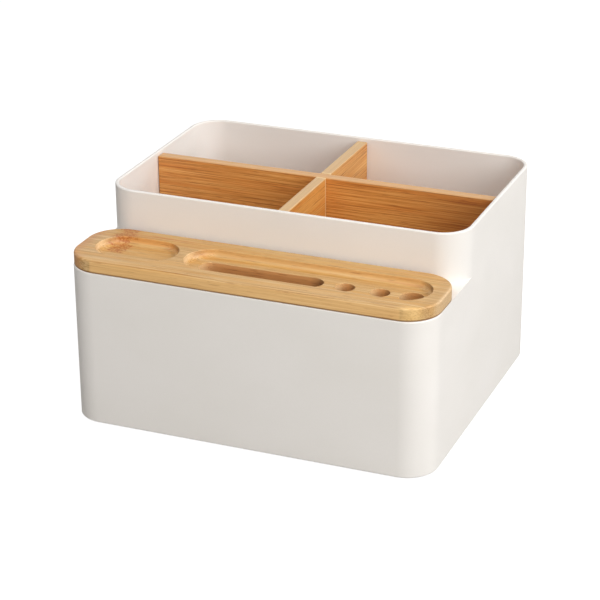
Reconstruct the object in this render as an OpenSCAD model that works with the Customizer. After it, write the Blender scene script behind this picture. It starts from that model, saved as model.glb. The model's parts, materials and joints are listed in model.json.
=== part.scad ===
// Stepped desk organizer: a one-piece moulded box with a low front bin under a lift-off
// bamboo lid, and a taller rear bin parted by two boards that cross.
// +Z is up, -Y is the front, and the origin is on the desk under the middle of the box.

/* [Body] */
// Overall width, left to right
body_w = 210; // [190:1:240]
// Overall depth, front to back
body_d = 185; // [165:1:220]
// Height of the rear rim above the desk
rim_h = 119.3; // [108:0.1:140]
// Height of the flat rim that the lid rests on, above the desk
ledge_h = 90.3; // [70:0.1:96]
// Depth from the front face to the rear section's own front face
front_d = 52.7; // [50:0.1:60]
// Outer radius of the upright corners
corner_r = 17.5; // [10:0.5:20]
// Thickness of the moulded walls
wall = 2.2; // [2:0.1:3]
// Thickness of the moulded floor
floor_t = 2.5; // [2:0.1:4]
// Radius where the walls meet the floor inside
floor_fillet = 3; // [1:0.5:4]
// Radius of the outer edge around the base
base_round = 0.7; // [0.5:0.1:1.8]
// Radius of both edges of the rear rim
rim_round = 0.8; // [0.3:0.1:0.9]
// Radius of the outer edge of the ledge that the lid rests on
ledge_round = 0.8; // [0.3:0.1:1.2]

/* [Lid] */
// Thickness of the lid above the rim it rests on
lid_t = 7.4; // [6:0.1:12]
// Gap between the lid and the rear section
lid_gap = 2.7; // [1:0.1:5]
// Radius of the lid's upright corners
lid_corner_r = 18.5; // [10:0.5:20]
// Rounding of the lid's top edge
lid_edge = 1.2; // [0.4:0.1:2]
// How far the rebated underside reaches down into the front bin
plug_h = 4.6; // [3:0.1:8]
// Clearance all round the rebated underside
plug_clear = 0.5; // [0.3:0.1:1]

/* [Recesses in the lid] */
// Width of the tray and of the groove, front to back
recess_w = 28.4; // [24:0.1:32]
// Depth of the tray and of the groove
recess_depth = 4.3; // [3.8:0.1:6]
// Radius along the floor of the tray and of the groove
recess_fillet = 3; // [0.5:0.1:3.2]
// Rounding of the upper edge of the tray and of the groove
recess_ease = 0.5; // [0.2:0.1:0.6]
// Length of the small tray at the left
tray_len = 47.3; // [40:0.1:55]
// Distance from the lid's left end to the tray
tray_margin = 9.5; // [7:0.1:14]
// Distance from the tray to the long groove
recess_web = 5.6; // [4:0.1:10]
// Distance from the groove to the lid's right end
groove_margin = 7.9; // [6:0.1:14]

/* [Slot and holes in the groove] */
// Width of the slot through the lid
slot_w = 12.4; // [8:0.1:16]
// Distance from the groove's left end to the slot
slot_offset = 8; // [6:0.1:20]
// Distance from the slot's right end to the middle of the left pen hole
slot_to_pen = 12.4; // [9:0.1:16]
// Distance between the two pen holes, middle to middle
pen_pitch = 19.6; // [14:0.1:22]
// Radius of the two pen holes
pen_hole_r = 5.25; // [4:0.05:6]
// Distance from the right pen hole to the marker hole, middle to middle
pen_to_marker = 17.4; // [14:0.1:20]
// Radius of the wider marker hole
marker_hole_r = 6.6; // [5:0.1:7.5]
// Distance from the middle of the marker hole to the groove's right end
marker_margin = 10.9; // [9:0.1:14]

/* [Dividers] */
// Thickness of both boards
divider_t = 6; // [4:0.5:8]
// How far the boards' top edges lie below the rear rim
divider_drop = 2; // [1:0.1:10]
// Clearance between each end of a board and the wall
divider_clear = 0.3; // [0.2:0.1:1]
// Width that the halving notches have over the board's thickness
notch_clear = 0.4; // [0.2:0.1:1]
// How far the long board lies behind the middle of the rear bin
long_divider_shift = 0; // [-25:1:25]
// How far the cross board lies to the right of the middle
cross_divider_shift = 0; // [-40:1:40]

/* [Feet] */
// Radius of the rubber pads
pad_r = 6; // [4:0.5:8]
// Thickness of the rubber pads
pad_t = 1.3; // [1:0.1:1.6]
// How far the pads stand out below the base
pad_proud = 0.5; // [0.3:0.1:0.8]
// Clearance round a pad in its recess
pad_clear = 0.2; // [0.1:0.1:0.5]
// Distance from the outer faces to the middle of a pad
pad_inset = 20; // [14:1:24]

/* [Hidden] */
$fn = 96;
// A cut runs this far past the face that it opens
past = 1;

base_z = pad_proud;
floor_z = base_z + floor_t;

// The front box and the rear section, each a rounded rectangle in plan
bin_d = front_d - lid_gap;
bin_y = (bin_d - body_d) / 2;
rear_d = body_d - front_d;
rear_y = front_d / 2;
inner_r = corner_r - wall;
inner_w = body_w - 2 * wall;

lid_top = ledge_h + lid_t;
plug_inset = wall + plug_clear;
recess_r = recess_w / 2;
recess_floor = lid_top - recess_depth;

// Places along the lid, from left to right
tray_x0 = -body_w / 2 + tray_margin;
tray_x1 = tray_x0 + tray_len;
groove_x0 = tray_x1 + recess_web;
groove_x1 = body_w / 2 - groove_margin;
marker_x = groove_x1 - marker_margin;
right_pen_x = marker_x - pen_to_marker;
left_pen_x = right_pen_x - pen_pitch;
slot_x0 = groove_x0 + slot_offset;
slot_x1 = left_pen_x - slot_to_pen;

// The two boards stand on the floor and halve into each other
divider_top = rim_h - divider_drop;
divider_h = divider_top - floor_z;
notch_h = (divider_h + notch_clear) / 2;
foot_round = floor_fillet + 1;
long_len = inner_w - 2 * divider_clear;
cross_len = rear_d - 2 * wall - 2 * divider_clear;
long_y = rear_y + long_divider_shift;
cross_x = cross_divider_shift;

// The corner left over between two square faces and a round of radius r that touches both
module fillet(r) {
    difference() {
        square(r);
        translate([r, r]) circle(r);
    }
}

// A rounded rectangle in plan
module rounded_rect(w, d, r) {
    square([w - 2 * r, d], center = true);
    square([w, d - 2 * r], center = true);
    for (x = [-1, 1], y = [-1, 1])
        translate([x * (w / 2 - r), y * (d / 2 - r)]) circle(r);
}

// A section, drawn outwards and up from a corner's axis, carried round a rounded rectangle
module carried_round(w, d, r) {
    for (turn = [0 : 3]) {
        out = (turn % 2 == 0 ? w : d) / 2 - r;
        along = (turn % 2 == 0 ? d : w) / 2 - r;
        rotate([0, 0, 90 * turn]) translate([out, along, 0]) {
            rotate([90, 0, 0]) linear_extrude(2 * along) children();
            rotate_extrude(angle = 90) children();
        }
    }
}

// A solid block with rounded upright corners, whose edge follows the section
module rounded_block(w, d, r, h) {
    carried_round(w, d, r) children();
    translate([0, 0, h / 2]) cube([w - 2 * r, d - 2 * r, h], center = true);
}

// Section of an outer wall up to a height, with its rounds at the base and along the top
module wall_section(h, outer_edge) {
    difference() {
        translate([inner_r, 0]) square([wall, h]);
        translate([corner_r, 0]) mirror([1, 0]) fillet(base_round);
        translate([corner_r, h]) rotate(180) fillet(outer_edge);
    }
}

// Section of a moulded tub: wall, fillet and the strip of floor at the corner
module tub_section(h, outer_edge, inner_edge) {
    difference() {
        union() {
            wall_section(h, outer_edge);
            square([inner_r, floor_t]);
            translate([inner_r, floor_t]) mirror([1, 0]) fillet(floor_fillet);
        }
        if (inner_edge > 0)
            translate([inner_r, h]) mirror([0, 1]) fillet(inner_edge);
    }
}

// One moulded tub, open at the top
module tub(w, d, h, outer_edge, inner_edge) {
    carried_round(w, d, corner_r) tub_section(h, outer_edge, inner_edge);
    translate([0, 0, floor_t / 2])
        cube([w - 2 * corner_r, d - 2 * corner_r, floor_t], center = true);
}

// Side walls and ledge that join the front box to the rear section, cored out from below
module joining_ledge() {
    y0 = bin_y + bin_d / 2 - corner_r;
    y1 = rear_y - rear_d / 2 + corner_r;
    for (side = [0, 1])
        mirror([side, 0, 0])
            translate([body_w / 2 - corner_r, y1, base_z])
                rotate([90, 0, 0]) linear_extrude(y1 - y0)
                    wall_section(ledge_h - base_z, ledge_round);
    translate([0, 0, ledge_h - wall]) linear_extrude(wall) difference() {
        translate([-inner_w / 2, y0]) square([inner_w, y1 - y0]);
        translate([0, bin_y]) rounded_rect(inner_w, bin_d - 2 * wall, inner_r);
        translate([0, rear_y]) rounded_rect(inner_w, rear_d - 2 * wall, inner_r);
    }
}

// Middle of a pad: side -1 is left or front, 1 is right or rear
function pad_place(side, end) = [
    side * (body_w / 2 - pad_inset),
    end * (body_d / 2 - pad_inset),
    0
];

module body() {
    color("#e6e1dc") difference() {
        union() {
            translate([0, bin_y, base_z])
                tub(body_w, bin_d, ledge_h - base_z, ledge_round, 0);
            translate([0, rear_y, base_z])
                tub(body_w, rear_d, rim_h - base_z, rim_round, rim_round);
            joining_ledge();
        }
        for (side = [-1, 1], end = [-1, 1])
            translate(pad_place(side, end))
                translate([0, 0, base_z - past])
                    cylinder(r = pad_r + pad_clear, h = past + pad_t - pad_proud);
    }
}

// Section of the lid's board, from a corner's axis, with its top edge rounded
module board_section() {
    difference() {
        square([lid_corner_r, lid_t]);
        translate([lid_corner_r, lid_t]) rotate(180) fillet(lid_edge);
    }
}

// Half of a recess across its width, with a fillet along its floor and a rounded upper edge
module recess_section() {
    difference() {
        square([recess_r, recess_depth + past]);
        translate([recess_r, 0]) mirror([1, 0]) fillet(recess_fillet);
    }
    translate([recess_r, recess_depth]) mirror([0, 1]) fillet(recess_ease);
}

// A recess with round ends between two places along the lid, open at the top
module recess(x0, x1) {
    reach = x1 - x0 - recess_w;
    translate([x0 + recess_r, bin_y, recess_floor]) {
        for (end = [0, 1])
            translate([end * reach, 0, 0])
                rotate(90 - 180 * end) rotate_extrude(angle = 180) recess_section();
        for (half = [0, 1])
            mirror([0, half, 0])
                rotate([90, 0, 90]) linear_extrude(reach) recess_section();
    }
}

// The rebated underside that drops into the front bin
module plug() {
    translate([0, bin_y, ledge_h - plug_h]) linear_extrude(plug_h + lid_t / 2)
        rounded_rect(
            body_w - 2 * plug_inset, bin_d - 2 * plug_inset, corner_r - plug_inset);
}

module through_hole(x, r) {
    translate([x, bin_y, ledge_h - plug_h - past])
        cylinder(r = r, h = plug_h + lid_t + 2 * past);
}

module lid() {
    color("#d9aa72") difference() {
        union() {
            translate([0, bin_y, ledge_h])
                rounded_block(body_w, bin_d, lid_corner_r, lid_t) board_section();
            plug();
        }
        recess(tray_x0, tray_x1);
        recess(groove_x0, groove_x1);
        translate([(slot_x0 + slot_x1) / 2, bin_y, ledge_h - plug_h - past])
            linear_extrude(plug_h + lid_t + 2 * past)
                rounded_rect(slot_x1 - slot_x0, slot_w, slot_w / 2 - 0.001);
        through_hole(left_pen_x, pen_hole_r);
        through_hole(right_pen_x, pen_hole_r);
        through_hole(marker_x, marker_hole_r);
    }
}

// A board on edge along X, with its lower corners rounded to clear the floor's fillet
module board(length) {
    rotate([90, 0, 0]) linear_extrude(divider_t, center = true) difference() {
        translate([-length / 2, 0]) square([length, divider_h]);
        for (end = [0, 1])
            mirror([end, 0]) translate([-length / 2, 0]) fillet(foot_round);
    }
}

// A notch across the thickness of a board, from z upwards
module notch(x, z) {
    slack = divider_t + notch_clear;
    translate([x - slack / 2, -divider_t, z]) cube([slack, 2 * divider_t, notch_h + past]);
}

module long_divider() {
    color("#c98d59") translate([0, long_y, floor_z]) difference() {
        board(long_len);
        notch(cross_x, -past);
    }
}

module cross_divider() {
    color("#b8794a") translate([cross_x, rear_y, floor_z]) rotate([0, 0, 90]) difference() {
        board(cross_len);
        notch(long_divider_shift, divider_h - notch_h);
    }
}

// A round rubber pad in its recess under the base
module pad(side, end) {
    color("#4a4a4c") translate(pad_place(side, end)) cylinder(r = pad_r, h = pad_t);
}

module pad_front_left() { pad(-1, -1); }
module pad_front_right() { pad(1, -1); }
module pad_rear_left() { pad(-1, 1); }
module pad_rear_right() { pad(1, 1); }

body();
lid();
long_divider();
cross_divider();
pad_front_left();
pad_front_right();
pad_rear_left();
pad_rear_right();
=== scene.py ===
# Stepped desk organizer: a moulded box, a lift-off bamboo lid, two crossed bamboo boards
# and four rubber pads. Lengths are in metres, +Z is up and -Y is the front.
import json
import math

import bmesh
import bpy
from mathutils import Matrix, Vector

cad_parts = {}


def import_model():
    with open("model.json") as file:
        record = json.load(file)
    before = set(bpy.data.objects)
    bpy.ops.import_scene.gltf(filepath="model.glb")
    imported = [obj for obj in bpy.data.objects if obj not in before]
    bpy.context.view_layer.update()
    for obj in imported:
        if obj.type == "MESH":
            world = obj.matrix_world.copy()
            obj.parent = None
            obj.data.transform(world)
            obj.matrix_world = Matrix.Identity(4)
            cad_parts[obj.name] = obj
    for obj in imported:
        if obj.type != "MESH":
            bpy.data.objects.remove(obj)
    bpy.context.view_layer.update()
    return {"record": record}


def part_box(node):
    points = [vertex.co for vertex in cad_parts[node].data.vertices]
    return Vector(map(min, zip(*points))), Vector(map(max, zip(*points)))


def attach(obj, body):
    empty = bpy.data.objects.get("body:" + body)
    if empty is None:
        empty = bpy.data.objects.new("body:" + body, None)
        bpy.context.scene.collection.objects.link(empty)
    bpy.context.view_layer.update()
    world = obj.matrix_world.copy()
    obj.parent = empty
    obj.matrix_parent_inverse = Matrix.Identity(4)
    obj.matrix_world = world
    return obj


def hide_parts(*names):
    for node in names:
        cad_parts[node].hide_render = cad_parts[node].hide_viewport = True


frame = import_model()

MM = 0.001

# The box
WALL = 2.2 * MM
FLOOR = 2.5 * MM
CORNER_R = 17.5 * MM
FLOOR_FILLET = 3 * MM
BASE_ROUND = 0.7 * MM
RIM_ROUND = 0.8 * MM
LEDGE_ROUND = 0.8 * MM
MOUTH_ROUND = 0.4 * MM

# The lid
LID_T = 7.4 * MM
LID_GAP = 2.7 * MM
LID_CORNER_R = 18.5 * MM
LID_TOP_ROUND = 1.2 * MM
LID_FOOT_ROUND = 0.5 * MM
PLUG_CLEAR = 0.5 * MM
RECESS_W = 28.4 * MM
RECESS_DEPTH = 4.3 * MM
RECESS_FILLET = 3 * MM
RECESS_EASE = 0.5 * MM
TRAY_LEN = 47.3 * MM
TRAY_MARGIN = 9.5 * MM
RECESS_WEB = 5.6 * MM
GROOVE_MARGIN = 7.9 * MM
SLOT_W = 12.4 * MM
SLOT_OFFSET = 8 * MM
SLOT_TO_PEN = 12.4 * MM
HOLE_EASE = 0.4 * MM

# The boards
BOARD_T = 6 * MM
NOTCH_CLEAR = 0.4 * MM
BOARD_EASE = 0.5 * MM
BOARD_CORNER = 1.2 * MM
BOARD_FOOT_ROUND = 4 * MM

# The pads
PAD_EASE = 0.3 * MM
PAD_CLEAR = 0.2 * MM

# How many steps go round an ease, a rim or ledge, an edge, a fillet and a recess's fillet
EASE_STEPS = 3
RIM_STEPS = 4
EDGE_STEPS = 5
FILLET_STEPS = 6
RECESS_STEPS = 8
# And round an upright corner, the wall of the cored channel and a circle
CORNER_STEPS = 16
CHANNEL_STEPS = 10
CIRCLE_STEPS = 48
# Edges that turn more than this stay sharp
SHARP_TURN = math.radians(50)
# Points nearer than SAME are taken for one place, and nearer than MERGED they become one
SAME = 0.01 * MM
MERGED = 0.001 * MM


def lid_holes():
    """The lid's round holes from the record, each with its place along X and its radius."""
    bores = [m for m in frame["record"]["mounts"] if m["kind"] == "bore"]
    return {m["name"]: (m["pos_m"][0], m["dims"]["r_mm"] * MM) for m in bores}


def lid_runs():
    """Where the lid's tray, groove and slot start and end along X."""
    low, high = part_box("lid")
    tray_start = low.x + TRAY_MARGIN
    tray_end = tray_start + TRAY_LEN
    groove_start = tray_end + RECESS_WEB
    first_hole, _ = lid_holes()["left_pen_hole"]
    return (
        (tray_start, tray_end),
        (groove_start, high.x - GROOVE_MARGIN),
        (groove_start + SLOT_OFFSET, first_hole - SLOT_TO_PEN))


# Shapes

def round_steps(radius, count, wall_first):
    """Inset and travel of each step round a quarter circle.

    It starts along the wall, or along the face, and ends along the other.
    """
    turns = [math.pi / 2 * i / count for i in range(count + 1)]
    early = [radius * math.sin(t) for t in turns]
    late = [radius * (1 - math.cos(t)) for t in turns]
    inset, travel = (late, early) if wall_first else (early, late)
    return [(inset[i + 1] - inset[i], travel[i + 1] - travel[i]) for i in range(count)]


def step_in(bm, face, steps, up):
    """Carries a face inwards and up (1) or down (-1), step by step, leaving walls behind.

    It returns the edges round a face that stood alone.
    """
    rim = []
    for inset, travel in steps:
        walls = bmesh.ops.inset_region(
            bm, faces=[face], thickness=inset, depth=0.0,
            use_even_offset=True, use_boundary=True)["faces"]
        rim = rim or [e for wall in walls for e in wall.edges if e.is_boundary]
        bmesh.ops.translate(bm, vec=(0, 0, up * travel), verts=face.verts)
    return rim


def rounded_face(bm, width, depth, radius, x, y, z):
    """One level face with round corners."""
    corners = bmesh.ops.create_grid(bm, x_segments=1, y_segments=1, size=0.5)["verts"]
    bmesh.ops.scale(bm, vec=(width, depth, 1), verts=corners)
    bmesh.ops.translate(bm, vec=(x, y, z), verts=corners)
    radius = min(radius, width / 2, depth / 2)
    verts = bmesh.ops.bevel(
        bm, geom=corners, offset=radius, segments=CORNER_STEPS, profile=0.5,
        affect="VERTICES", material=-1)["verts"]
    bmesh.ops.remove_doubles(bm, verts=verts, dist=SAME)
    return next(v for v in verts if v.is_valid).link_faces[0]


def round_face(bm, radius, x, y, z):
    """One level round face."""
    verts = bmesh.ops.create_circle(
        bm, cap_ends=True, segments=CIRCLE_STEPS, radius=radius,
        matrix=Matrix.Translation((x, y, z)))["verts"]
    return verts[0].link_faces[0]


def fill_between(bm, faces, loops):
    """Puts a level surface with holes in place of faces: loops are the edges of its holes."""
    edges = [e for f in faces for e in f.edges] + [e for loop in loops for e in loop]
    bmesh.ops.delete(bm, geom=faces, context="FACES_ONLY")
    bmesh.ops.triangle_fill(bm, edges=edges, use_beauty=True, use_dissolve=False)


def both_sides(bm, face, lower_z):
    """Gives a level face a second one at another height, walls between, and returns that one."""
    height = lower_z - face.verts[0].co.z
    made = bmesh.ops.extrude_face_region(
        bm, geom=[face, *face.edges, *face.verts], use_keep_orig=True)["geom"]
    lower = next(g for g in made if isinstance(g, bmesh.types.BMFace))
    bmesh.ops.translate(bm, vec=(0, 0, height), verts=lower.verts)
    return lower


def finished(name, bm, material, body):
    """Makes the piece, which rides on a body and stands for the node of the same name."""
    bmesh.ops.remove_doubles(bm, verts=bm.verts, dist=MERGED)
    bmesh.ops.recalc_face_normals(bm, faces=bm.faces)
    mesh = bpy.data.meshes.new(name)
    bm.to_mesh(mesh)
    bm.free()
    mesh.shade_smooth()
    mesh.set_sharp_from_angle(angle=SHARP_TURN)
    mesh.materials.append(material)
    piece = bpy.data.objects.new(name + "_piece", mesh)
    bpy.context.scene.collection.objects.link(piece)
    lead = piece.modifiers.new("flat_faces_lead", "WEIGHTED_NORMAL")
    lead.keep_sharp = True
    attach(piece, body)
    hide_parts(name)


def arc(x, y, radius, start, end, count):
    """Points round an arc, angles in degrees."""
    turns = [math.radians(start + (end - start) * i / count) for i in range(count + 1)]
    return [(x + radius * math.cos(t), y + radius * math.sin(t)) for t in turns]


# The moulded box

def split_side(face, x, y):
    """A new corner on the face's side edge at x, at the depth y."""
    def holds(edge):
        ends = sorted(v.co.y for v in edge.verts)
        level = all(abs(v.co.x - x) < SAME for v in edge.verts)
        return level and ends[0] < y < ends[1]
    edge = next(e for e in face.edges if holds(e))
    start = edge.verts[0]
    share = (y - start.co.y) / (edge.other_vert(start).co.y - start.co.y)
    return bmesh.utils.edge_split(edge, start, share)[1]


def box_underside(bm, face, half_w, bin_back, rear_front, z, channel_h, pad_places):
    """Cores the double wall out from below and sinks the recesses for the pads."""
    centre_x = half_w - CORNER_R
    swing = math.degrees(math.acos((CORNER_R - WALL) / CORNER_R))
    right = arc(centre_x, bin_back - CORNER_R, CORNER_R, 90, swing, CHANNEL_STEPS)
    right += arc(centre_x, rear_front + CORNER_R, CORNER_R, -swing, -90, CHANNEL_STEPS)
    outline = right + [(-x, y) for x, y in reversed(right)]
    channel = bm.faces.new([bm.verts.new((x, y, z)) for x, y in outline])
    loops = [step_in(bm, channel, [(0, channel_h)], 1)]
    for x, y, top, radius in pad_places:
        recess = round_face(bm, radius, x, y, z)
        loops.append(step_in(bm, recess, [(0, top - z)], 1))
    fill_between(bm, [face], loops)


def moulded_box(material):
    low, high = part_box("body")
    half_w, half_d = high.x, high.y
    lid_low, lid_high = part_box("lid")
    ledge_z = lid_high.z - LID_T
    bin_d = lid_high.y - lid_low.y
    bin_y = (lid_high.y + lid_low.y) / 2
    rear_front = lid_high.y + LID_GAP
    cusp_y = rear_front + CORNER_R

    bm = bmesh.new()
    base = rounded_face(bm, 2 * half_w, 2 * half_d, CORNER_R, 0, 0, low.z + BASE_ROUND)
    top = both_sides(bm, base, ledge_z)
    step_in(bm, base, round_steps(BASE_ROUND, EDGE_STEPS, wall_first=True), -1)

    # The rear section's front outline parts the top face into the ledge and the rear bin
    centre_x = half_w - CORNER_R
    outline = arc(centre_x, cusp_y, CORNER_R, 0, -90, CORNER_STEPS)
    outline += arc(-centre_x, cusp_y, CORNER_R, -90, -180, CORNER_STEPS)
    ends = [split_side(top, side * half_w, cusp_y) for side in (1, -1)]
    points = [Vector((x, y, ledge_z)) for x, y in outline[1:-1]]
    other, _ = bmesh.utils.face_split(top, ends[0], ends[1], coords=points)
    rear, ledge = sorted((top, other), key=lambda f: -f.calc_center_median().y)

    rim = high.z - ledge_z
    depth = high.z - low.z - FLOOR
    outer = round_steps(RIM_ROUND, RIM_STEPS, wall_first=True)
    inner = round_steps(RIM_ROUND, RIM_STEPS, wall_first=False)
    floor_fillet = round_steps(FLOOR_FILLET, FILLET_STEPS, wall_first=True)
    step_in(bm, rear, [(0, rim - RIM_ROUND)] + outer, 1)
    step_in(bm, rear, [(WALL - 2 * RIM_ROUND, 0)] + inner, -1)
    step_in(bm, rear, [(0, depth - RIM_ROUND - FLOOR_FILLET)] + floor_fillet, -1)

    # The ledge's edge is rounded along the front and round its two corners
    round_end = low.y + CORNER_R + SAME
    front = [e for e in ledge.edges if all(v.co.y < round_end for v in e.verts)]
    bmesh.ops.bevel(
        bm, geom=front, offset=LEDGE_ROUND, segments=RIM_STEPS, profile=0.5,
        affect="EDGES", material=-1)
    level = [f for f in bm.faces if all(abs(v.co.z - ledge_z) < SAME for v in f.verts)]
    ledge = max(level, key=lambda f: f.calc_area())

    mouth = rounded_face(
        bm, 2 * (half_w - WALL + MOUTH_ROUND), bin_d - 2 * (WALL - MOUTH_ROUND),
        CORNER_R - WALL + MOUTH_ROUND, 0, bin_y, ledge_z)
    drop = ledge_z - low.z - FLOOR
    mouth_edges = step_in(bm, mouth, round_steps(MOUTH_ROUND, EASE_STEPS, wall_first=False), -1)
    step_in(bm, mouth, [(0, drop - MOUTH_ROUND - FLOOR_FILLET)] + floor_fillet, -1)
    fill_between(bm, [ledge], [mouth_edges])

    pads = []
    for side in ("front_left", "front_right", "rear_left", "rear_right"):
        pad_low, pad_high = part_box("pad_" + side)
        middle = (pad_low + pad_high) / 2
        radius = (pad_high.x - pad_low.x) / 2 + PAD_CLEAR
        pads.append((middle.x, middle.y, pad_high.z, radius))
    box_underside(
        bm, base, half_w, lid_high.y, rear_front, low.z, ledge_z - WALL - low.z, pads)
    finished("body", bm, material, "body")


# The lid

def bamboo_lid(material):
    low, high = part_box("lid")
    width, depth = high.x - low.x, high.y - low.y
    middle = (low.y + high.y) / 2
    ledge_z = high.z - LID_T
    recess_floor = high.z - RECESS_DEPTH

    bm = bmesh.new()
    under = rounded_face(bm, width, depth, LID_CORNER_R, 0, middle, ledge_z + LID_FOOT_ROUND)
    top = both_sides(bm, under, high.z - LID_TOP_ROUND)
    foot = round_steps(LID_FOOT_ROUND, EASE_STEPS, wall_first=True)
    plug = [(WALL + PLUG_CLEAR - LID_FOOT_ROUND, 0), (0, ledge_z - low.z - LID_FOOT_ROUND)]
    step_in(bm, top, round_steps(LID_TOP_ROUND, EDGE_STEPS, wall_first=True), 1)
    step_in(bm, under, foot + plug + foot, -1)

    def recess(start, end):
        """Sinks the tray or the groove, and returns its floor and the edges of its mouth."""
        grown = 2 * RECESS_EASE
        face = rounded_face(
            bm, end - start + grown, RECESS_W + grown, RECESS_W, (start + end) / 2, middle, high.z)
        mouth = step_in(bm, face, round_steps(RECESS_EASE, EASE_STEPS, wall_first=False), -1)
        step_in(bm, face, [(0, RECESS_DEPTH - RECESS_EASE - RECESS_FILLET)], -1)
        step_in(bm, face, round_steps(RECESS_FILLET, RECESS_STEPS, wall_first=True), -1)
        return face, mouth

    def through(face):
        """Cuts the slot or a hole right through, and returns the edges of its two ends."""
        mouth = step_in(bm, face, round_steps(HOLE_EASE, EASE_STEPS, wall_first=False), -1)
        step_in(bm, face, [(0, recess_floor - low.z - HOLE_EASE)], -1)
        lower = list(face.edges)
        bmesh.ops.delete(bm, geom=[face], context="FACES_ONLY")
        return mouth, lower

    tray_run, groove_run, (slot_start, slot_end) = lid_runs()
    _, tray_mouth = recess(*tray_run)
    groove, groove_mouth = recess(*groove_run)
    grown = 2 * HOLE_EASE
    slot = rounded_face(
        bm, slot_end - slot_start + grown, SLOT_W + grown, SLOT_W,
        (slot_start + slot_end) / 2, middle, recess_floor)
    openings = [through(slot)]
    for x, radius in lid_holes().values():
        hole = round_face(bm, radius + HOLE_EASE, x, middle, recess_floor)
        openings.append(through(hole))

    fill_between(bm, [top], [tray_mouth, groove_mouth])
    fill_between(bm, [groove], [mouth for mouth, _ in openings])
    fill_between(bm, [under], [lower for _, lower in openings])
    finished("lid", bm, material, "lid")


# The boards and pads

def divider_board(name, length, height, notch_x, notch_from_top, place, turn, material):
    """A board on edge with a halving notch. Its lower corners clear the box's floor fillet."""
    half = length / 2
    gap = (BOARD_T + NOTCH_CLEAR) / 2
    notch_h = (height + NOTCH_CLEAR) / 2
    left, right = notch_x - gap, notch_x + gap
    notch = [(left, 0), (left, notch_h), (right, notch_h), (right, 0)]
    if notch_from_top:
        notch = [(x, height - y) for x, y in reversed(notch)]
        outline = [(-half, 0), (half, 0), (half, height)] + notch + [(-half, height)]
    else:
        outline = [(-half, 0)] + notch + [(half, 0), (half, height), (-half, height)]
    bm = bmesh.new()
    verts = [bm.verts.new((x, y, BOARD_T / 2 - BOARD_EASE)) for x, y in outline]
    bm.faces.new(verts)
    ends = [v for v in verts if abs(abs(v.co.x) - half) < SAME]
    for level, radius in ((0, BOARD_FOOT_ROUND), (height, BOARD_CORNER)):
        corners = [v for v in ends if v.is_valid and abs(v.co.y - level) < SAME]
        bmesh.ops.bevel(
            bm, geom=corners, offset=radius, segments=FILLET_STEPS, profile=0.5,
            affect="VERTICES", material=-1)
    face = next(iter(bm.faces))
    back = both_sides(bm, face, BOARD_EASE - BOARD_T / 2)
    ease = round_steps(BOARD_EASE, EASE_STEPS, wall_first=True)
    step_in(bm, face, ease, 1)
    step_in(bm, back, ease, -1)
    stand = Matrix.Rotation(turn, 4, "Z") @ Matrix.Rotation(math.pi / 2, 4, "X")
    bmesh.ops.transform(bm, matrix=Matrix.Translation(place) @ stand, verts=bm.verts)
    finished(name, bm, material, name)


def boards(material_long, material_cross):
    long_low, long_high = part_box("long_divider")
    cross_low, cross_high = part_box("cross_divider")
    cross_x = (cross_low.x + cross_high.x) / 2
    long_y = (long_low.y + long_high.y) / 2
    cross_y = (cross_low.y + cross_high.y) / 2
    height = long_high.z - long_low.z
    divider_board(
        "long_divider", long_high.x - long_low.x, height, cross_x, False,
        (0, long_y, long_low.z), 0, material_long)
    divider_board(
        "cross_divider", cross_high.y - cross_low.y, height, long_y - cross_y, True,
        (cross_x, cross_y, cross_low.z), math.pi / 2, material_cross)


def rubber_pad(place, material):
    name = "pad_" + place
    low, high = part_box(name)
    middle = (low + high) / 2
    bm = bmesh.new()
    sole = round_face(bm, (high.x - low.x) / 2, middle.x, middle.y, low.z + PAD_EASE)
    top = both_sides(bm, sole, high.z)
    step_in(bm, sole, round_steps(PAD_EASE, EASE_STEPS, wall_first=True), -1)
    step_in(bm, top, [(PAD_EASE, 0)], 1)
    finished(name, bm, material, "body")


# Materials

def linear(hex_colour):
    """An sRGB hex colour as linear red, green, blue and alpha."""
    parts = [int(hex_colour[i:i + 2], 16) / 255 for i in (1, 3, 5)]
    return [c / 12.92 if c <= 0.04045 else ((c + 0.055) / 1.055) ** 2.4 for c in parts] + [1]


def node(tree, kind, links=None, stops=None, **settings):
    """Adds a node. Settings name its properties or its inputs.

    Links name its inputs, or number them where several have one name. Each takes a plain
    value, another node's output, or another node, which then gives its first output in use.
    Stops are a colour ramp's places, from 0 to 1, and their hex colours.
    """
    made = tree.nodes.new(kind)
    for key, value in settings.items():
        if hasattr(made, key):
            setattr(made, key, value)
        else:
            made.inputs[key.replace("_", " ")].default_value = value
    for key, source in (links or {}).items():
        named = [socket for socket in made.inputs if socket.enabled and socket.name == key]
        target = named[0] if named else made.inputs[key]
        if isinstance(source, bpy.types.Node):
            source = next(socket for socket in source.outputs if socket.enabled)
        if isinstance(source, bpy.types.NodeSocket):
            tree.links.new(source, target)
        else:
            target.default_value = source
    if stops:
        elements = made.color_ramp.elements
        while len(elements) < len(stops):
            elements.new(0.5)
        for element, (place, colour) in zip(elements, stops):
            element.position = place
            element.color = linear(colour)
    return made


def new_material(name):
    """A material and its node tree, which starts empty."""
    material = bpy.data.materials.new(name)
    material.use_nodes = True
    material.node_tree.nodes.clear()
    return material, material.node_tree


def in_millimetres(tree, turn=0.0):
    """Places on the piece in millimetres, turned about the upright axis."""
    place = node(tree, "ShaderNodeTexCoord").outputs["Object"]
    return node(
        tree, "ShaderNodeMapping", {"Vector": place},
        Rotation=(0, 0, -turn), Scale=(1 / MM, 1 / MM, 1 / MM))


def lumps(tree, place, size, detail=2.0, roughness=0.5, shift=(0, 0, 0)):
    """A smooth random pattern from 0 to 1. Size is its lumps' in millimetres along X, Y, Z."""
    stretched = node(
        tree, "ShaderNodeMapping", {"Vector": place},
        Location=shift, Scale=[1 / length for length in size])
    return node(
        tree, "ShaderNodeTexNoise", {"Vector": stretched},
        Scale=1, Detail=detail, Roughness=roughness)


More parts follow.
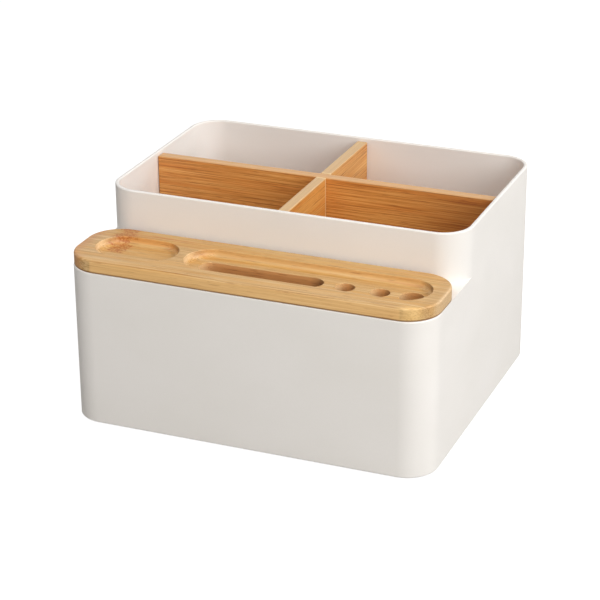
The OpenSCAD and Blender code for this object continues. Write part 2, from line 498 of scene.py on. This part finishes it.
def share_past(tree, share, *runs):
    """How much of a tone shows: from none to the share, once each value is past its run.

    A run is a value, the point where the tone starts to show, and where it is full.
    """
    tops = [1.0] * (len(runs) - 1) + [share]
    shown = None
    for (value, start, full), top in zip(runs, tops):
        step = node(
            tree, "ShaderNodeMapRange", {"Value": value}, interpolation_type="SMOOTHSTEP",
            From_Min=start, From_Max=full, To_Max=top)
        if shown is not None:
            step = node(tree, "ShaderNodeMath", {0: shown, 1: step}, operation="MULTIPLY")
        shown = step
    return shown


def toned(tree, colour, tone, share, *runs):
    """Lays a tone over a colour where each value is past its run."""
    return node(
        tree, "ShaderNodeMix",
        {"Factor": share_past(tree, share, *runs), "A": colour, "B": linear(tone)},
        data_type="RGBA")


def moulded_abs():
    """Injection-moulded ABS from a spark-eroded mould.

    It gives a warm white with a soft, broad sheen and a very fine even grain. The mould's
    grain is about 0.1 mm, too fine to show, so it is drawn 0.8 mm wide.
    """
    material, tree = new_material("moulded_abs_matte")
    place = in_millimetres(tree)
    grain = lumps(tree, place, (0.8, 0.8, 0.8), detail=3, roughness=0.6)
    flow = lumps(tree, place, (60, 60, 35))
    handled = lumps(tree, place, (14, 14, 10), detail=4, roughness=0.55)

    # The plastic's tint drifts with its flow in the mould, and the grain's pits look darker
    tint = node(
        tree, "ShaderNodeValToRGB", {"Fac": flow}, stops=[(0.3, "#eeeae4"), (0.7, "#f1ede8")])
    tint = toned(tree, tint, "#e4dfd8", 0.10, (grain, 0.35, 0.75))
    # Handling polishes it unevenly
    polish = node(
        tree, "ShaderNodeMapRange", {"Value": handled}, interpolation_type="SMOOTHSTEP",
        From_Min=0.35, From_Max=0.7, To_Min=0.46, To_Max=0.56)
    fine = node(
        tree, "ShaderNodeMapRange", {"Value": grain}, interpolation_type="SMOOTHSTEP",
        From_Min=0.3, From_Max=0.7, To_Min=-0.03, To_Max=0.03)
    roughness = node(tree, "ShaderNodeMath", {0: polish, 1: fine}, operation="ADD")
    pits = node(tree, "ShaderNodeBump", {"Height": grain}, Strength=0.35, Distance=0.02 * MM)
    shader = node(
        tree, "ShaderNodeBsdfPrincipled",
        {"Base Color": tint, "Roughness": roughness, "Normal": pits}, IOR=1.53)
    node(tree, "ShaderNodeOutputMaterial", {"Surface": shader})
    return material


def bamboo(name, tones, turn=0.0, strips=None, knot=None, edge=None):
    """Laminated bamboo, planed, sanded and clear-coated satin.

    It gives straight fibre streaks under a soft sheen. The fibres are 0.3 mm thick and are
    drawn 0.6 mm thick, the least that shows. The tones are pale, middle, dark and warm.
    Strips, knot and edge each lay a board's tones over the colour; strips and edge also lay
    painted light and shade.
    """
    pale, middle, dark, warm = tones
    material, tree = new_material(name)
    place = in_millimetres(tree, turn)
    fibres = lumps(tree, place, (60, 0.6, 0.6), detail=4, roughness=0.62)
    # The culm's layers differ every 4.5 mm. Its cut vessels are short dark dashes, 0.2 mm
    # wide and drawn 0.5 mm wide so that they show.
    layers = lumps(tree, place, (130, 4.5, 4.5), detail=3, shift=(3, 7, 1))
    vessels = lumps(tree, place, (11, 0.5, 0.5), shift=(5, 0, 9))

    colour = node(
        tree, "ShaderNodeValToRGB", {"Fac": fibres},
        stops=[(0.34, dark), (0.48, middle), (0.66, pale)])
    colour = toned(tree, colour, warm, 0.5, (layers, 0.48, 0.66))
    if strips:
        colour = strips(tree, place, colour)
    pores = share_past(tree, 0.5, (vessels, 0.6, 0.72))
    colour = node(
        tree, "ShaderNodeMix", {"Factor": pores, "A": colour, "B": linear(dark)},
        data_type="RGBA", blend_type="MULTIPLY")
    if knot:
        colour = knot(tree, place, colour)
    if edge:
        colour = edge(tree, place, colour)

    roughness = node(
        tree, "ShaderNodeMapRange", {"Value": fibres}, interpolation_type="SMOOTHSTEP",
        From_Min=0.3, From_Max=0.7, To_Min=0.52, To_Max=0.4)
    height = node(tree, "ShaderNodeMath", {0: fibres, 1: pores}, operation="SUBTRACT")
    relief = node(tree, "ShaderNodeBump", {"Height": height}, Strength=0.5, Distance=0.06 * MM)
    shader = node(
        tree, "ShaderNodeBsdfPrincipled",
        {"Base Color": colour, "Roughness": roughness, "Normal": relief},
        Coat_Weight=0.12, Coat_Roughness=0.35)
    node(tree, "ShaderNodeOutputMaterial", {"Surface": shader})
    return material


def painted_light_and_shade_ends(tree, x, openings, pale, shaded, dark):
    """Painted light and shade along the lid, for the walls of its openings.

    Each opening has its two ends in millimetres and the colour between them. It has a painted
    highlight at the left end, painted shade just inside it and darker painted shade at the right
    end.
    """
    # How far the colours reach from the lid's middle, and how long each end's runs are
    reach = 110
    pale_run, shaded_run, dark_run = 2.5, 11, 10
    stops = []
    for start, end, middle in openings:
        half = (end - start) / 2
        stops += [
            (start, pale),
            (start + min(pale_run, half / 2), shaded),
            (start + min(shaded_run, half), middle),
            (end - min(dark_run, half), middle),
            (end, dark),
        ]
    along = node(
        tree, "ShaderNodeMapRange", {"Value": x}, From_Min=-reach, From_Max=reach)
    return node(
        tree, "ShaderNodeValToRGB", {"Fac": along},
        stops=[((at + reach) / (2 * reach), colour) for at, colour in stops])


def lid_strips(tree, place, colour):
    """The lid's back strip is cut from warmer bamboo, and its edges and walls carry painted light
    and shade.

    The front face and the right edge are painted paler as painted light, the front right corner
    has painted glints as a painted highlight, and the front left corner is browner. The routed
    walls have a painted highlight at their left ends and painted shade at their right ends, and so
    do the walls of the slot and the holes. A painted shadow line runs along the foot.
    """
    low, high = (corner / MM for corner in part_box("lid"))
    left, front, right, back, top = low.x, low.y, high.x, high.y, high.z
    ledge = top - LID_T / MM
    recess_floor = top - RECESS_DEPTH / MM
    x, y, z = node(tree, "ShaderNodeSeparateXYZ", {"Vector": place}).outputs

    # The back strip, with orange streaks that grow stronger towards the left
    colour = toned(tree, colour, "#c69e58", 0.4, (y, back - 15, back - 12))
    streaks = lumps(tree, place, (45, 0.9, 3), detail=3, shift=(1, 4, 6))
    leftwards = node(
        tree, "ShaderNodeMapRange", {"Value": x}, interpolation_type="SMOOTHSTEP",
        From_Min=-25, From_Max=-60, To_Min=0.45, To_Max=0.8)
    orange = share_past(tree, 1, (streaks, 0.5, 0.62), (y, back - 17.5, back - 11.5))
    orange = node(tree, "ShaderNodeMath", {0: orange, 1: leftwards}, operation="MULTIPLY")
    colour = node(
        tree, "ShaderNodeMix", {"Factor": orange, "A": colour, "B": linear("#bd7430")},
        data_type="RGBA")

    edges = [
        # The front face and the right edge, painted paler as painted light; the top beside the
        # right edge, darker; and the left end, browner
        ("#ffcb84", 0.52, (y, front + 0.17, front + 0.03)),
        ("#f4d9b0", 0.45, (x, right - 2.5, right - 0.4)),
        ("#b08650", 0.3, (x, right - 10, right - 5)),
        ("#c07f4c", 0.55, (x, left + 9, left + 1)),
        # A painted highlight of glints on the front right corner, the browner front left corner,
        # and a painted shadow line along the foot
        ("#f0c680", 0.7, (x, right - 21, right - 11), (y, front + 6.5, front + 2)),
        ("#cb8e58", 0.6, (x, left + 14, left + 6), (y, front + 9.5, front + 3.5)),
        # Painted shadow: a dark line along the lid's foot, where it meets the box
        ("#7d5330", 0.75, (z, ledge + 1.2, ledge + 0.7)),
    ]
    for tone, share, *runs in edges:
        colour = toned(tree, colour, tone, share, *runs)

    # The walls of the recesses, and below their floors those of the slot and the holes, carry
    # painted light and shade: a painted highlight at each left end, painted shade at each right
    # end, and between them a wall tone.
    off_middle = node(
        tree, "ShaderNodeMath", {0: y, 1: (front + back) / 2}, operation="SUBTRACT")
    across = node(tree, "ShaderNodeMath", {0: off_middle}, operation="ABSOLUTE")
    along = node(tree, "ShaderNodeMath", {0: x}, operation="ABSOLUTE")
    wall = RECESS_W / 2 / MM
    inside = [(across, wall + 0.8, wall + 0.6), (along, right - 6.5, right - 7)]
    tray, groove, slot = [(start / MM, end / MM) for start, end in lid_runs()]
    walls = share_past(
        tree, 0.66, (z, recess_floor + 0.6, recess_floor + 2), (z, top, top - 0.3), *inside)
    colour = node(
        tree, "ShaderNodeMix", data_type="RGBA", links={
            "Factor": walls, "A": colour, "B": painted_light_and_shade_ends(
                tree, x, [(*tray, "#dc9c54"), (*groove, "#dfae6c")],
                "#f8dcae", "#b98a57", "#54331b")})
    cuts = [slot] + [((x0 - r) / MM, (x0 + r) / MM) for x0, r in lid_holes().values()]
    # The slot's and holes' walls: painted highlight at the left ends, painted shade at the right
    # ends, and their middles painted lighter as painted light
    below = share_past(tree, 0.75, *inside, (z, recess_floor - 0.1, recess_floor - 0.6))
    return node(
        tree, "ShaderNodeMix", data_type="RGBA", links={
            "Factor": below, "A": colour, "B": painted_light_and_shade_ends(
                tree, x, [(*cut, "#dd9a5c") for cut in cuts], "#f2cb97", "#e0a870", "#6a4428")})


def lid_knot(tree, place, colour):
    """A culm node at the left of the two back strips: a band of short crossed fibres.

    The fibres' specks are 0.4 mm wide and are drawn 1.1 mm wide, so that they show.
    """
    x, y, _ = node(tree, "ShaderNodeSeparateXYZ", {"Vector": place}).outputs
    wander = lumps(tree, place, (4, 2.2, 4), detail=3, shift=(2, 2, 2))
    # The band lies behind the lid's middle line and wanders, 83.5 to 89 mm to the left
    offset = node(
        tree, "ShaderNodeMapRange", {"Value": wander}, interpolation_type="SMOOTHSTEP",
        From_Min=0.3, From_Max=0.7, To_Min=83.5, To_Max=89)
    from_band = node(tree, "ShaderNodeMath", {0: x, 1: offset}, operation="ADD")
    from_band = node(tree, "ShaderNodeMath", {0: from_band}, operation="ABSOLUTE")
    band = share_past(tree, 1, (from_band, 6.5, 3), (y, -68.4, -66.6))
    specks = lumps(tree, place, (1.3, 1.1, 1.1), shift=(8, 1, 4))
    share = node(
        tree, "ShaderNodeMapRange", {"Value": specks}, interpolation_type="SMOOTHSTEP",
        From_Min=0.43, From_Max=0.54, To_Min=0.2, To_Max=0.9)
    share = node(tree, "ShaderNodeMath", {0: band, 1: share}, operation="MULTIPLY")
    return node(
        tree, "ShaderNodeMix", {"Factor": share, "A": colour, "B": linear("#aa5f20")},
        data_type="RGBA")


def board_edge_painted_light(top, tone, notch=None):
    """A board's upper edge is painted paler as painted light from above, and a painted highlight
    line runs beside its notch's edges.
    """
    def edge(tree, place, colour):
        x, _, z = node(tree, "ShaderNodeSeparateXYZ", {"Vector": place}).outputs
        colour = toned(tree, colour, tone, 0.7, (z, top - 0.9, top - 0.3))
        if notch is None:
            return colour
        away = node(tree, "ShaderNodeMath", {0: x, 1: notch}, operation="SUBTRACT")
        away = node(tree, "ShaderNodeMath", {0: away}, operation="ABSOLUTE")
        return toned(
            tree, colour, "#f3d29c", 0.75, (z, top / 2 - 1, top / 2 + 3), (away, 5, 4.4))
    return edge


def long_board_painted_shade(tree, place, colour):
    """Painted shade: the long board darkens towards its right end, where the box's right wall
    shades it.
    """
    x = node(tree, "ShaderNodeSeparateXYZ", {"Vector": place}).outputs["X"]
    return toned(tree, colour, "#84461f", 0.42, (x, 35, 95))


def pad_rubber():
    """Moulded rubber, matte and nearly black, with a fine grain that takes up dust.

    The grain is 0.2 mm and is drawn 0.6 mm, the least that shows.
    """
    material, tree = new_material("pad_rubber_moulded")
    grain = lumps(tree, in_millimetres(tree), (0.6, 0.6, 0.6), detail=3)
    colour = node(
        tree, "ShaderNodeValToRGB", {"Fac": grain}, stops=[(0.35, "#333335"), (0.7, "#454547")])
    roughness = node(
        tree, "ShaderNodeMapRange", {"Value": grain}, interpolation_type="SMOOTHSTEP",
        From_Min=0.3, From_Max=0.7, To_Min=0.74, To_Max=0.86)
    relief = node(tree, "ShaderNodeBump", {"Height": grain}, Strength=0.5, Distance=0.05 * MM)
    shader = node(
        tree, "ShaderNodeBsdfPrincipled",
        {"Base Color": colour, "Roughness": roughness, "Normal": relief})
    node(tree, "ShaderNodeOutputMaterial", {"Surface": shader})
    return material


# Stage, light and camera

# The floor's glow for the camera, which takes it to white, and how far it reaches
FLOOR_GLOW = 0.85
FLOOR_REACH = 4
# The even fill from all round
FILL = 0.15
# Soft square lamps, all aimed at one point: name, place, side, watts and colour
LAMP_AIM = Vector((0, 0, 0.06))
SOFTBOXES = (
    ("right", (1.25, -0.05, 0.55), 0.35, 2.3, "#fafcff"),
    ("right_front", (0.95, -0.95, 0.6), 0.6, 7.8, "#fffefd"),
    ("front", (0.1, -1.35, 0.5), 0.9, 0.8, "#fffdfb"),
    ("front_top", (0.2, -0.8, 1.15), 0.9, 5.7, "#fffdfb"),
    ("right_top", (0.95, 0.1, 1.0), 0.35, 5.8, "#ffffff"),
    ("back_right", (0.9, 0.9, 0.6), 0.5, 3, "#ffffff"),
    ("left_top", (-0.8, -0.6, 1.0), 0.9, 3.4, "#fffdfb"),
)


def stage():
    """A pale floor that keeps the object's shadow and runs out to white."""
    bm = bmesh.new()
    bmesh.ops.create_grid(bm, x_segments=1, y_segments=1, size=FLOOR_REACH)
    mesh = bpy.data.meshes.new("floor")
    bm.to_mesh(mesh)
    bm.free()
    floor = bpy.data.objects.new("floor", mesh)
    bpy.context.scene.collection.objects.link(floor)
    material, tree = new_material("floor_white")
    seen = node(tree, "ShaderNodeLightPath").outputs["Is Camera Ray"]
    glow = node(tree, "ShaderNodeMath", {0: seen, 1: FLOOR_GLOW}, operation="MULTIPLY")
    shader = node(
        tree, "ShaderNodeBsdfPrincipled", {"Emission Strength": glow},
        Base_Color=linear("#9c9b99"), Roughness=0.9, Emission_Color=(1, 1, 1, 1))
    node(tree, "ShaderNodeOutputMaterial", {"Surface": shader})
    mesh.materials.append(material)


def world():
    """White for the camera and in reflections, and an even soft fill for the light."""
    made = bpy.data.worlds.new("studio")
    bpy.context.scene.world = made
    made.use_nodes = True
    tree = made.node_tree
    tree.nodes.clear()
    rays = node(tree, "ShaderNodeLightPath").outputs
    seen = node(
        tree, "ShaderNodeMath", {0: rays["Is Camera Ray"], 1: rays["Is Glossy Ray"]},
        operation="MAXIMUM")
    seen = node(
        tree, "ShaderNodeMath", {0: seen, 1: rays["Is Transmission Ray"]},
        operation="MAXIMUM")
    strength = node(tree, "ShaderNodeMapRange", {"Value": seen}, To_Min=FILL)
    sky = node(tree, "ShaderNodeBackground", {"Strength": strength}, Color=(1, 1, 1, 1))
    node(tree, "ShaderNodeOutputWorld", {"Surface": sky})


def lights():
    for name, place, side, watts, colour in SOFTBOXES:
        lamp = bpy.data.lights.new(name, "AREA")
        lamp.shape = "RECTANGLE"
        lamp.size, lamp.size_y = side, side
        lamp.energy = watts
        lamp.color = linear(colour)[:3]
        made = bpy.data.objects.new(name, lamp)
        bpy.context.scene.collection.objects.link(made)
        made.location = place
        made.rotation_euler = (LAMP_AIM - Vector(place)).to_track_quat("-Z", "Y").to_euler()


# The camera, fitted to the photo's edges: place and view of a 122 mm lens on 36 mm film
LENS = 122.27
FILM = 36
AZIMUTH = math.radians(22.116)
ELEVATION = math.radians(23.433)
ROLL = math.radians(-0.447)
DISTANCE = 1.1595
TARGET = Vector((0, 0, 0.0525))
# How far the middle of the picture lies left of and below the target
LEFT, BELOW = 3.734 * MM, 1.411 * MM
# What the camera can see, from nearest to furthest
NEAREST, FURTHEST = 0.05, 20


def camera():
    made = bpy.data.objects.new("camera", bpy.data.cameras.new("camera"))
    bpy.context.scene.collection.objects.link(made)
    bpy.context.scene.camera = made
    made.data.lens = LENS
    made.data.sensor_width = FILM
    made.data.clip_start, made.data.clip_end = NEAREST, FURTHEST
    back = Vector((
        math.sin(AZIMUTH) * math.cos(ELEVATION),
        -math.cos(AZIMUTH) * math.cos(ELEVATION),
        math.sin(ELEVATION)))
    right = Vector((math.cos(AZIMUTH), math.sin(AZIMUTH), 0))
    up = back.cross(right)
    place = TARGET + DISTANCE * back
    aim = TARGET - LEFT * right - BELOW * up
    look = (aim - place).to_track_quat("-Z", "Y").to_matrix()
    made.location = place
    made.rotation_euler = (look @ Matrix.Rotation(ROLL, 3, "Z")).to_euler()


# Each board's bamboo in four tones: pale, middle, dark and warm
LID_TONES = ("#e4c18b", "#cba269", "#a9783c", "#d39a45")
LONG_TONES = ("#eaaf62", "#d28a3f", "#9f5820", "#d57f31")
CROSS_TONES = ("#eab86c", "#d29045", "#9f5c23", "#d58535")

camera()
stage()
world()
lights()
moulded_box(moulded_abs())
bamboo_lid(bamboo("bamboo_lid_satin", LID_TONES, strips=lid_strips, knot=lid_knot))
long_low, long_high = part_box("long_divider")
board_top = long_high.z / MM
notch_place = (long_low.y + long_high.y) / 2 / MM
# The boards' paler top edges and the line beside the cross board's notch are painted light
boards(
    bamboo(
        "bamboo_long_board_satin", LONG_TONES, strips=long_board_painted_shade,
        edge=board_edge_painted_light(board_top, "#daaf7a")),
    bamboo(
        "bamboo_cross_board_satin", CROSS_TONES, turn=math.pi / 2,
        edge=board_edge_painted_light(board_top, "#d7b98a", notch_place)))
rubber = pad_rubber()
for place in ("front_left", "front_right", "rear_left", "rear_right"):
    rubber_pad(place, rubber)
bpy.context.scene.view_settings.view_transform = "Standard"
